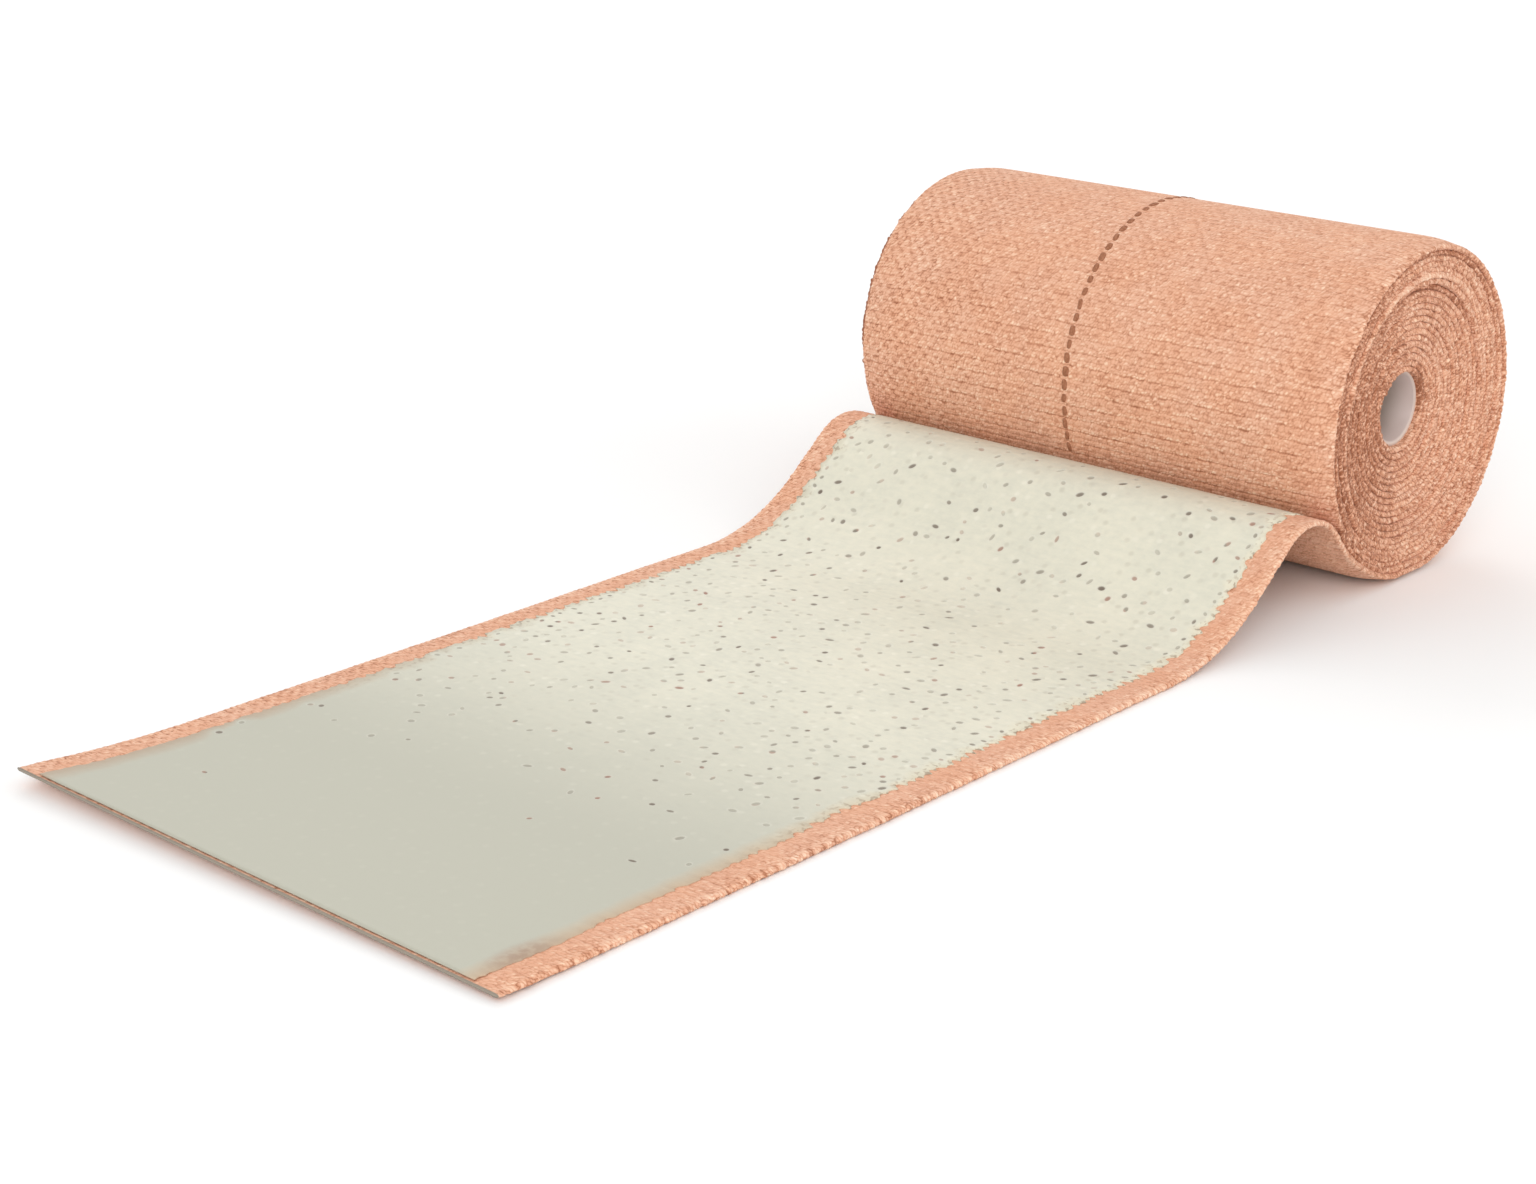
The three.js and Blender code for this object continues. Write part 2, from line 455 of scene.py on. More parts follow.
def fluffy_edge(rng, along, side):
    """Across and out round one edge of the wound turns: side 0 is the near one, side 1 the far one."""
    reach = loops(rng, along, TURN_LOOP, TURN_LOOP_REACH) + wander(rng, along, 3 * MM, 0.12 * MM)
    lean = loop_steps(rng, along, TURN_LOOP, TURN_LOOP_LEAN)
    angles = edge_profile(TURN_EDGE_POINTS)
    turn = angles if side == 0 else -angles
    inward = TURN_EDGE_ROUND * (1 - np.cos(turn)) - reach[:, None] * np.cos(turn)
    across = inward if side == 0 else BAND_WIDTH - inward
    return across, PITCH / 2 * np.sin(turn) + lean[:, None] * np.cos(turn)


def shade_turns(rng, along, angle, share, toward):
    """How dark the turns are painted: painted shade in the gaps between them and at their edges, and painted
    highlight on turns that stand out.
    """
    leftward = np.cos(angle + math.pi / 2)
    # painted shade in the crevices between turns, more of it on the left of the face
    crevice = np.clip(0.06 + 0.3 * np.clip(leftward, 0, 1) + wander(rng, along, 12 * MM, 0.1), 0, 1)
    # painted shade on the left of the face, and a painted shadow on the innermost turn beside the hole
    shade = LEFT_SHADE * np.clip(leftward, 0, 1)
    beside_hole = np.clip(np.cos(angle - HOLE_SHADE_ANGLE), 0, 1)
    shade += HOLE_SHADE * beside_hole ** 3 * bell(share, HOLE_SHADE_REACH)
    patchy = 0.6 + wander(rng, along, 1.7 * MM, 0.5)
    # the set-back turns get painted shade, and the turn that stands out gets a painted highlight
    for middle, _, darkness in SET_BACK:
        nearness = np.clip(toward + 0.3, 0, 1) * bell(share - middle, SET_BACK_REACH)
        crevice += max(darkness, 0) * nearness
        shade += patchy * darkness * nearness
    return np.clip(crevice, 0, 1), shade


def build_wound_turns():
    rng = np.random.default_rng(11)
    longest = wound_length((ROLL_RADIUS - BORE_RADIUS) / PITCH)
    along = np.arange(-longest, -last_turn_length(), TURN_STATION)
    turned, radius = spiral(-along)
    share = rim_share(radius)
    angle = angle_round(turned)
    toward = np.cos(angle - SET_BACK_ANGLE)
    push = push_turns(rng, along, share, toward)
    edges = [fluffy_edge(rng, along, side) for side in (0, 1)]
    across = np.concatenate([edge[0] for edge in edges], axis=1) + push[:, None]
    out = np.concatenate([edge[1] for edge in edges], axis=1)
    steps = np.hypot(np.diff(across, axis=1), np.diff(out, axis=1)).mean(axis=0)
    piece, maps = build_strip("wound_turns", along, across, out, steps)
    spread_turns(piece, *maps, along, TURN_EDGE_POINTS)
    crevice, shade = shade_turns(rng, along, angle, share, toward)
    angles = np.tile(edge_profile(TURN_EDGE_POINTS), 2)
    # painted shade, deepest on the turns' sides down in the crevices between them
    seam = crevice[:, None] * np.abs(np.sin(angles)) ** 1.6
    store(piece, across.shape, seam=seam + shade[:, None], edge=1, soaked=0, cut=0)
    return piece


def margin_places(reach, points):
    """Places across one margin, closest together at its edge."""
    return EDGE_ROUND + (reach - EDGE_ROUND) * np.linspace(0, 1, points) ** 1.15


def strip_section():
    """Across, out and share of a fast edge round the strip's section, and the points in its parts.

    It goes in over the near margin's top, over the near edge, out under it all, and back.
    """
    margin = margin_places(MARGIN + 1.4 * MM, 11)
    inner = np.linspace(margin[-1], BAND_WIDTH - margin[-1], 14)[1:-1]
    far_margin = BAND_WIDTH - margin[::-1]
    angles = edge_profile(7)[1:-1]
    turned_in = EDGE_ROUND * (1 - np.cos(angles))
    face = np.concatenate([margin, inner, far_margin])
    tops = np.ones(len(margin))
    flat = np.zeros(len(margin))
    across = np.concatenate([
        margin[::-1], turned_in, face, BAND_WIDTH - turned_in, far_margin[::-1], [BAND_WIDTH / 2],
    ])
    out = np.concatenate([tops, np.sin(angles), -np.ones(len(face)), -np.sin(angles), tops, [1]])
    edge_share = np.concatenate([flat, np.cos(angles), np.zeros(len(face)), -np.cos(angles), flat, [0]])
    return across, out, edge_share, (len(margin), len(angles), len(face))


def groove_at(along):
    """From 0 to 1 in the groove between two pairs of ribs."""
    return 0.5 + 0.5 * np.cos(math.pi * along / RIB)[:, None]


def strip_thickness(along, section_across, section_out):
    """How far out the section's points lie, with ribs on the outer side and knots on the margins."""
    from_edge = np.minimum(section_across, BAND_WIDTH - section_across)
    on_margin = bell(np.maximum(from_edge - KNOB_REACH, 0), KNOB_FADE)
    rows = np.floor(along / LOOP)
    knob = np.sin(math.pi * along / LOOP)[:, None] ** 2 * (
        0.5 + 0.5 * np.cos(TURN * (section_across[None, :] / LOOP + 0.5 * (rows[:, None] % 2))))
    rib = np.sin(math.pi * along / RIB)[:, None] ** 2 - 0.6 * groove_at(along) ** 8
    outer_face = (section_out < 0)[None, :]
    rise = np.where(outer_face, RIB_RISE * rib, KNOB_RISE * knob * on_margin[None, :])
    half = CLOTH / 2 - np.where(outer_face, RIB_RISE / 2, 0)
    tight = 1 - END_THINNING * bell(LOOSE_LENGTH - along, END_THINNING_REACH)
    return tight[:, None] * (half + rise) * section_out[None, :]


def shade_strip(rng, along, section_out, edge):
    """How dark the strip is painted: painted shade inside the roll, a painted contact shadow where it
    touches the roll, painted shade in its grooves, and its edges lighter.
    """
    from_start = along - along[0]
    # painted contact shadow where the strip leaves the roll, and painted shade on its inner face inside the
    # roll
    contact = 0.15 * bell(from_start, 8 * MM) + 0.5 * bell(from_start, 1 * MM)
    inner_face = (section_out > 0) & (along[:, None] < 0)
    seam = np.where(inner_face, 0.2, np.where(section_out > 0, 0, contact[:, None]))
    # painted shade in the grooves at the edges, from the flat stretch on
    flat_share = np.clip((along - 90 * MM) / (25 * MM), 0, 1) * (0.45 + wander(rng, along, 2 * MM, 0.3))
    seam = seam + edge[None, :] * groove_at(along) ** 2 * flat_share[:, None]
    # the loose end's fast edges are lighter than its margins
    light = 0.32 * np.clip(along / (8 * MM), 0, 1) * (0.8 + wander(rng, along, 5 * MM, 0.2))
    return seam - light[:, None] * edge[None, :]


def build_strip_end():
    rng = np.random.default_rng(23)
    along = np.arange(-last_turn_length(), LOOSE_LENGTH + STATION / 2, STATION)
    section_across, section_out, edge_share, parts = strip_section()
    near_reach = loops(rng, along, LOOP, LOOP_REACH) + wander(rng, along, 4 * MM, 0.08 * MM)
    far_reach = loops(rng, along, LOOP, LOOP_REACH) + wander(rng, along, 4 * MM, 0.08 * MM)
    drift = wander(rng, along, 60 * MM, 0.25 * MM)
    across = np.repeat(section_across[None, :], len(along), axis=0) + drift[:, None]
    across -= near_reach[:, None] * np.clip(edge_share, 0, 1)
    across += far_reach[:, None] * np.clip(-edge_share, 0, 1)
    out = strip_thickness(along, section_across, section_out)
    steps = np.hypot(np.diff(section_across), np.diff(section_out * (CLOTH / 2)))
    piece, maps = build_strip("strip_end", along, across, out, steps)
    spread_strip_end(piece, *maps, int(np.searchsorted(along, 0)), *parts)
    from_edge = np.minimum(section_across, BAND_WIDTH - section_across)
    edge = bell(from_edge, 1.1 * MM)
    soaked = np.where(section_out > 0, bell(from_edge - 3.8 * MM, 1.2 * MM), 0)
    seam = shade_strip(rng, along, section_out, edge)
    at_cut = (along == along[-1])[:, None]
    store(piece, across.shape, edge=edge, seam=seam, soaked=soaked, cut=at_cut)
    return piece


def coat_border(rng, along):
    """How far the coat's edge lies in from the cloth's, with its notches."""
    phase = along / NOTCH + wander(rng, along, 9 * MM, 0.6)
    number = np.floor(phase).astype(int)
    part = phase - number
    number -= number.min()
    depth = rng.uniform(0.15, 1.35, number.max() + 1)[number]
    skew = rng.uniform(0.25, 0.95, number.max() + 1)[number]
    notch = np.sin(math.pi / 2 * np.minimum(part / skew, (1 - part) / (1 - skew))) ** 0.8
    teeth = 1 - 0.8 * np.clip((along - 0.6 * LOOSE_LENGTH) / (0.3 * LOOSE_LENGTH), 0, 1)
    drift = wander(rng, along, 14 * MM, 0.35 * MM) + wander(rng, along, 0.8 * MM, 0.12 * MM)
    return MARGIN + NOTCH_DEPTH * notch * depth * teeth + drift


def is_free(found, along, across, reach):
    """Whether a pinhole that reaches this far stays clear of those found before."""
    return all(math.hypot(along - f[0], across - f[1]) >= reach + PINHOLE_RIM * max(f[2], f[3])
               for f in found)


def line_borders(rng, found, borders, around):
    """Adds a row of pinholes along each border, one to a pair of ribs, with some left out."""
    stations, near, far = borders
    for border, side in ((near, 1), (far, -1)):
        for along in np.arange(COAT_START + 2 * MM, 0.8 * PINHOLE_REACH, DASH_PERIOD):
            along += rng.uniform(-0.4, 0.4) * MM
            wide = rng.uniform(0.42, 0.66) * MM
            long = rng.uniform(0.32, 0.42) * MM
            reach = PINHOLE_RIM * wide + PINHOLE_GAP
            inward = (side * np.interp(along + around, stations, border)).max() + reach
            across = side * (inward + rng.uniform(0, 0.7) * MM)
            dark = rng.uniform(0.35, 0.8)
            if rng.uniform() < 0.7 and is_free(found, along, across, reach):
                found.append((along, across, wide, long, rng.uniform(0, math.pi), dark))


def scatter_pinholes(rng, borders):
    """Each pinhole's place along and across, its two sizes, its lean and how dark it is."""
    stations, near_border, far_border = borders
    found = []
    around = np.linspace(-1.2, 1.2, 7) * MM
    line_borders(rng, found, borders, around)
    tries = 0
    while len(found) < PINHOLES and tries < 60000:
        tries += 1
        along = rng.uniform(COAT_START + 1.5 * MM, LOOSE_LENGTH - 8 * MM)
        wide = rng.uniform(0.44, 0.88) * MM
        long = rng.uniform(0.34, 0.6) * MM
        reach = PINHOLE_RIM * max(wide, long) + PINHOLE_GAP
        near = np.interp(along + around, stations, near_border).max() + reach
        far = np.interp(along + around, stations, far_border).min() - reach
        across = rng.uniform(near, far)
        to_edge = min(across - near, far - across) / (BAND_WIDTH / 2)
        likely = 1 / (1 + math.exp((along - PINHOLE_REACH) / (7 * MM)))
        likely *= 0.55 + 0.45 * math.exp(-(to_edge / 0.3) ** 2) + 0.25 * (60 * MM < along < 130 * MM)
        if rng.uniform() > likely:
            continue
        if not is_free(found, along, across, reach):
            continue
        dark = rng.uniform(0.6, 0.95) if rng.uniform() < 0.38 else rng.uniform(0.2, 0.52)
        found.append((along, across, wide, long, rng.uniform(0, math.pi), dark))
    return np.array(found)


def rings_round(holes, scale):
    """Points round every pinhole, at this share of its size."""
    turn = (np.arange(RIM_POINTS) / RIM_POINTS * TURN)[None, :]
    middle_along, middle_across, wide, long, lean, _ = holes.T[:, :, None]
    wide, long = wide * scale, long * scale
    along = wide * np.cos(turn) * np.cos(lean) - long * np.sin(turn) * np.sin(lean)
    across = wide * np.cos(turn) * np.sin(lean) + long * np.sin(turn) * np.cos(lean)
    return np.stack([middle_along + along, middle_across + across], -1)


def clear_of(holes, places):
    """Which of these flat places are clear of every pinhole's rim."""
    gap = np.full(len(places), np.inf)
    for along, across, wide, long, _, _ in holes:
        away = np.hypot(places[:, 0] - along, places[:, 1] - across)
        gap = np.minimum(gap, away - PINHOLE_RIM * max(wide, long))
    return gap > PINHOLE_GAP


def ring_edges(first, count):
    """The edges round this many points, from the first one."""
    return [(first + i, first + (i + 1) % count) for i in range(count)]


def fill_flat(points, edges, borders):
    """Triangles over flat points between the coat's borders; also each point's number before and after."""
    corners = [Vector(p) for p in (points * FLAT_SCALE).tolist()]
    filled, _, triangles, sources, _, _ = geometry.delaunay_2d_cdt(corners, edges, [], 0, 1e-6)
    places = np.array([tuple(p) for p in filled]) / FLAT_SCALE
    faces = np.array(list(triangles))
    before = np.array([source[0] if len(source) else -1 for source in sources])
    after = np.full(len(points), -1)
    for new, old in enumerate(before):
        if old >= 0:
            after[old] = new
    stations, near, far = borders
    along, across = places[faces].mean(axis=1).T
    inside = (across > np.interp(along, stations, near)) & (across < np.interp(along, stations, far))
    return places, faces[inside], before, after


def coat_outline(borders, inner_across):
    """The coat's border laid flat, and which way is outward along it."""
    stations, near, far = borders
    outline = np.concatenate([
        np.stack([stations, near], 1),
        np.stack([np.full(len(inner_across), stations[-1]), inner_across], 1),
        np.stack([stations, far], 1)[::-1],
        np.stack([np.full(len(inner_across), stations[0]), inner_across[::-1]], 1),
    ])
    lengths = [len(stations), len(inner_across)] * 2
    return outline, np.repeat([(0, -1), (1, 0), (0, 1), (-1, 0)], lengths, axis=0)


def coat_grid(rng, stations, inner_across):
    """Points within the coat, a little out of line."""
    grid_along, grid_across = np.meshgrid(
        np.arange(stations[0] + 0.8 * MM, stations[-1] - 0.5 * MM, GRID_STEP[0]), inner_across)
    grid = np.stack([grid_along.ravel(), grid_across.ravel()], 1)
    return grid + rng.uniform(-GRID_SCATTER, GRID_SCATTER, grid.shape)


def coat_top(outline, grid, holes, borders):
    """The coat's upper side laid flat, with its pinholes as pits."""
    border = len(outline)
    known = border + RIM_POINTS * len(holes)
    rims = rings_round(holes, PINHOLE_RIM).reshape(-1, 2)
    edges = ring_edges(0, border)
    for first in range(border, known, RIM_POINTS):
        edges += ring_edges(first, RIM_POINTS)
    flat = np.concatenate([outline, rims, grid[clear_of(holes, grid)]])
    points, faces, before, after = fill_flat(flat, edges, borders)
    hole_of = np.where((before >= border) & (before < known), (before - border) // RIM_POINTS, -1)
    corner = hole_of[faces]
    in_hole = (corner[:, 0] >= 0) & (corner[:, 0] == corner[:, 1]) & (corner[:, 1] == corner[:, 2])
    all_faces = faces[~in_hole].tolist()
    plain = np.zeros(len(points))
    rows = [(points, plain + COAT_RISE, plain, plain)]
    total = len(points)
    outer = after[border:known].reshape(-1, RIM_POINTS)
    for size, rise, dark, light in PIT_RINGS:
        ring = rings_round(holes, size).reshape(-1, 2)
        inner = total + np.arange(len(ring)).reshape(-1, RIM_POINTS)
        darks = np.repeat(holes[:, 5] * dark, RIM_POINTS)
        rows.append((ring, np.full(len(ring), COAT_RISE + rise), darks, np.full(len(ring), light)))
        quads = np.stack([outer, np.roll(outer, -1, 1), np.roll(inner, -1, 1), inner], -1)
        all_faces += quads.reshape(-1, 4).tolist()
        total += len(ring)
        outer = inner
    all_faces += outer.tolist()
    flat, rise, pit, halo = (np.concatenate(row) for row in zip(*rows))
    return SimpleNamespace(flat=flat, rise=rise, pit=pit, halo=halo, faces=all_faces, border=after[:border])


def build_coat():
    rng = np.random.default_rng(5)
    stations = np.arange(COAT_START, LOOSE_LENGTH - COAT_END_GAP, COAT_STATION)
    near = coat_border(rng, stations)
    far = BAND_WIDTH - coat_border(rng, stations)
    borders = (stations, near, far)
    holes = scatter_pinholes(rng, borders)
    inner_across = np.arange(near.max() + 2 * MM, far.min() - 1 * MM, GRID_STEP[1])
    outline, outline_outward = coat_outline(borders, inner_across)
    grid = coat_grid(rng, stations, inner_across)
    top = coat_top(outline, grid, holes, borders)
    total = len(top.flat)

    # the underside repeats the plain sheet without its pinholes, and a wall joins the two
    sheet = np.concatenate([outline, grid])
    under, under_faces, _, after = fill_flat(sheet, ring_edges(0, len(outline)), borders)
    under_border = after[:len(outline)] + total
    wall = np.stack([top.border, under_border, np.roll(under_border, -1), np.roll(top.border, -1)], 1)
    faces = top.faces + (under_faces[:, ::-1] + total).tolist() + wall.tolist()
    flat = np.concatenate([top.flat, under])
    nothing = np.zeros(len(under))
    out = CLOTH / 2 + np.concatenate([top.rise, nothing - COAT_SINK])
    # the strip runs towards -X, so faces laid out on (along, across) are turned over
    piece = new_piece("adhesive_coat", place(*flat.T, out), [face[::-1] for face in faces])

    to_border = np.minimum(
        flat[:, 1] - np.interp(flat[:, 0], stations, near),
        np.interp(flat[:, 0], stations, far) - flat[:, 1])
    store(piece, len(flat), pit=np.concatenate([top.pit, nothing]), halo=np.concatenate([top.halo, nothing]),
          fringe=bell(np.maximum(to_border, 0), 0.4 * MM))
    vertex = np.empty(len(piece.data.loops), np.int32)
    piece.data.loops.foreach_get("vertex_index", vertex)
    add_map(piece, STRIP_MAP, flat[vertex] / MM)
    outward = np.zeros((len(flat), 2))
    outward[under_border] = outline_outward
    spread_coat(piece, flat[vertex], outward[vertex], vertex >= total)
    return piece


def spread_coat(piece, flat, outward, lower):
    """A map for baking: the coat as it was laid out, its wall round it, and its underside smaller."""
    side, inset, wall = 197 * MM, 0.5 * MM, 0.3
    sizes = np.array([len(face.vertices) for face in piece.data.polygons])
    face = np.repeat(np.arange(len(sizes)), sizes)
    lower_corners = np.bincount(face, weights=lower)[face]
    under = lower_corners == sizes[face]
    places = flat + inset
    places[lower] += outward[lower] * wall * MM
    places[under] = flat[under] * 0.5 + (inset, 100 * MM)
    add_map(piece, BAKE_MAP, places / side)


def dash_points(rng, middle, rings, sides):
    """Points round one stitched dash, each dash a little different."""
    reach = DASH_LENGTH * rng.uniform(0.8, 1.15) / 2
    width = DASH_WIDTH * rng.uniform(0.75, 1.15) / 2
    lean = rng.uniform(-0.16, 0.16)
    offset = rng.uniform(-0.07, 0.07) * MM
    t = np.sin(np.linspace(-1, 1, rings) * math.pi / 2)[:, None]
    taper = np.sqrt(np.clip(1 - np.abs(t) ** 6, 0, 1)) * 0.98 + 0.02
    turn = (np.arange(sides) / sides * TURN)[None, :]
    along = middle + reach * t + 0 * turn
    across = BAND_WIDTH / 2 + LINE_OFFSET + offset + width * taper * np.cos(turn) + lean * reach * t
    out = -CLOTH / 2 - DASH_LIFT + DASH_HEIGHT / 2 * taper * np.sin(turn)
    points = place(along, across, out).reshape(-1, 3)
    points[:, 2] = np.maximum(points[:, 2], 0)
    return points


def build_guide_line():
    rng = np.random.default_rng(31)
    first = math.ceil((3 * MM - last_turn_length()) / DASH_PERIOD)
    starts = np.arange(first, (LOOSE_LENGTH - 2 * MM) / DASH_PERIOD - 1) * DASH_PERIOD
    rings, sides = 7, 10
    vertices, faces, total = [], [], 0
    for start in starts:
        vertices.append(dash_points(rng, start + DASH_PERIOD / 2, rings, sides))
        faces += [[i + total for i in face] for face in tube_faces(rings, sides)]
        total += rings * sides
    return new_piece("guide_line", np.concatenate(vertices), faces)


def build_core():
    inner = (core_high.x - core_low.x) / 2 - CORE_WALL
    outer = BORE_RADIUS - CORE_CLEARANCE
    near, far, lip = core_low.y, core_high.y, CORE_LIP
    section = [
        (inner + lip, near), (outer - lip, near), (outer, near + lip), (outer, far - lip),
        (outer - lip, far), (inner + lip, far), (inner, far - lip), (inner, near + lip),
    ]
    on_lip = [1, 1, 0, 0, 1, 1, 0, 0]
    angles = np.arange(CORE_SIDES) / CORE_SIDES * TURN
    vertices = np.array([
        (AXIS_X + r * math.sin(a), y, AXIS_Z + r * math.cos(a)) for a in angles for r, y in section
    ])
    faces = []
    points = len(section)
    for side in range(CORE_SIDES):
        here, there = side * points, (side + 1) % CORE_SIDES * points
        for i in range(points):
            j = (i + 1) % points
            faces.append([here + i, there + i, there + j, here + j])
    piece = new_piece("core_tube", vertices, faces)
    store(piece, (CORE_SIDES, points), lip=on_lip)
    return piece


class Shader:
    """Adds nodes to one material and links what is passed to their sockets."""

    def __init__(self, name):
        self.material = bpy.data.materials.new(name)
        self.material.use_nodes = True
        self.nodes = self.material.node_tree.nodes
        self.links = self.material.node_tree.links
        self.shader = self.nodes["Principled BSDF"]

    def put(self, socket, value):
        if isinstance(value, bpy.types.NodeSocket):
            self.links.new(value, socket)
        elif hasattr(value, "__len__") and len(value) == 3 and socket.type == "RGBA":
            socket.default_value = (*value, 1)
        else:
            socket.default_value = value

    def add(self, kind, settings=None, **inputs):
        node = self.nodes.new(kind)
        for key, value in (settings or {}).items():
            setattr(node, key, value)
        for key, value in inputs.items():
            self.put(node.inputs[key.replace("_", " ")], value)
        return node

    def math(self, operation, *values):
        node = self.nodes.new("ShaderNodeMath")
        node.operation = operation
        for socket, value in zip(node.inputs, values):
            self.put(socket, value)
        return node.outputs[0]

    def times(self, first, second):
        return self.math("MULTIPLY", first, second)

    def scaled(self, value, factor, start):
        """The value times the factor, added to the start."""
        return self.math("MULTIPLY_ADD", value, factor, start)

    def total(self, *terms):
        """Adds up numbers, sockets and pairs that are multiplied first."""
        result = 0.0
        for term in terms:
            if isinstance(term, tuple):
                result = self.scaled(*term, result)
            else:
                result = self.math("ADD", result, term)
        return result

    def vector(self, operation, first, second):
        node = self.nodes.new("ShaderNodeVectorMath")
        node.operation = operation
        self.put(node.inputs[0], first)
        self.put(node.inputs[1], second)
        return node.outputs[0]

    def split(self, vector):
        return list(self.add("ShaderNodeSeparateXYZ", Vector=vector).outputs)

    def span(self, value, read, given=(0.0, 1.0)):
        """Turns the numbers between the two read into those between the two given, smoothly."""
        node = self.add("ShaderNodeMapRange", {"interpolation_type": "SMOOTHSTEP"}, Value=value,
                        From_Min=read[0], From_Max=read[1], To_Min=given[0], To_Max=given[1])
        return node.outputs[0]

    def mix(self, factor, first, second):
        node = self.nodes.new("ShaderNodeMix")
        node.data_type = "RGBA"
        self.put(node.inputs[0], factor)
        self.put(node.inputs[6], first)
        self.put(node.inputs[7], second)
        return node.outputs[2]

    def ramp(self, factor, stops):
        node = self.add("ShaderNodeValToRGB", Fac=factor)
        elements = node.color_ramp.elements
        while len(elements) < len(stops):
            elements.new(0.5)
        for element, (position, color) in zip(elements, stops):
            element.position = position
            element.color = (*color, 1)
        return node.outputs[0]

    def stored(self, name):
        return self.add("ShaderNodeAttribute", {"attribute_name": name}).outputs["Fac"]

    def strip_map(self):
        """The place on the strip, in mm along it and across it."""
        uv = self.add("ShaderNodeUVMap", {"uv_map": STRIP_MAP}).outputs[0]
        return uv, *self.split(uv)[:2]

    def noise(self, vector, scale, detail=2.0, roughness=0.5):
        node = self.add("ShaderNodeTexNoise", {"noise_dimensions": "2D"}, Vector=vector, Scale=scale,
                        Detail=detail, Roughness=roughness)
        return node.outputs[0]

    def cloud(self, scale, detail):
        """The place in the object, and a noise through its solid."""
        place_in = self.add("ShaderNodeTexCoord").outputs["Object"]
        noise = self.add("ShaderNodeTexNoise", Vector=place_in, Scale=scale, Detail=detail)
        return place_in, noise.outputs[0]

    def bump(self, strength, distance, height):
        return self.add("ShaderNodeBump", Strength=strength, Distance=distance, Height=height).outputs[0]

    def surface(self, **inputs):
        for key, value in inputs.items():
            self.put(self.shader.inputs[key.replace("_", " ")], value)
        return self.material


def weave(s, uv, u, v):
    """The cloth's knots, ribs, fibres and strands, and three random numbers for each knot."""
    # two rows of knots to a rib, and each knot a little out of line
    crinkle = s.add("ShaderNodeTexNoise", {"noise_dimensions": "2D"}, Vector=uv, Scale=0.6,
                    Detail=2.0).outputs["Color"]
    wobble = s.vector("MULTIPLY", s.vector("SUBTRACT", crinkle, (0.5, 0.5, 0.5)), (0.9, 1.2, 0.0))
    shifted = s.vector("ADD", uv, wobble)
    row, column, _ = s.split(s.vector("MULTIPLY", shifted, (MM / KNOT, MM / CELL, 0.0)))
    staggered = s.scaled(row, 0.5, column)
    lattice = s.add("ShaderNodeCombineXYZ", X=s.math("SUBTRACT", row, 0.2), Y=staggered).outputs[0]
    knots = s.add("ShaderNodeTexVoronoi", {"voronoi_dimensions": "2D"}, Vector=lattice, Scale=1.0,
                  Randomness=0.5)
    distance = knots.outputs["Distance"]
    chance = s.add("ShaderNodeSeparateColor", Color=knots.outputs["Color"]).outputs

    wobble_along, wobble_across, _ = s.split(wobble)
    phase = s.times(s.scaled(wobble_along, 0.3, u), math.pi * MM / RIB)
    ripple = s.math("COSINE", phase)
    steps = s.times(s.scaled(wobble_across, 0.3, v), math.pi * MM / COLUMN)

    # the yarns' twist, which runs one way in half of the knots and the other way in the rest
    way = s.math("SUBTRACT", s.times(s.math("GREATER_THAN", chance[2], 0.5), 2.0), 1.0)
    slanted = s.scaled(s.times(v, way), 0.8, u)
    return SimpleNamespace(
        chance=chance,
        knot=s.span(distance, (0.12, 0.62), (1.0, 0.0)),
        gap=s.span(distance, (0.42, 0.66)),
        phase=phase,
        rib=s.math("POWER", s.math("SINE", phase), 2.0),
        groove=s.math("POWER", s.scaled(ripple, 0.5, 0.5), 16.0),
        diamond=s.times(ripple, s.math("COSINE", steps)),
        fibre=s.noise(uv, 2.6, 3.0, 0.7),
        strand=s.math("SINE", s.times(slanted, TURN / STRAND)),
    )


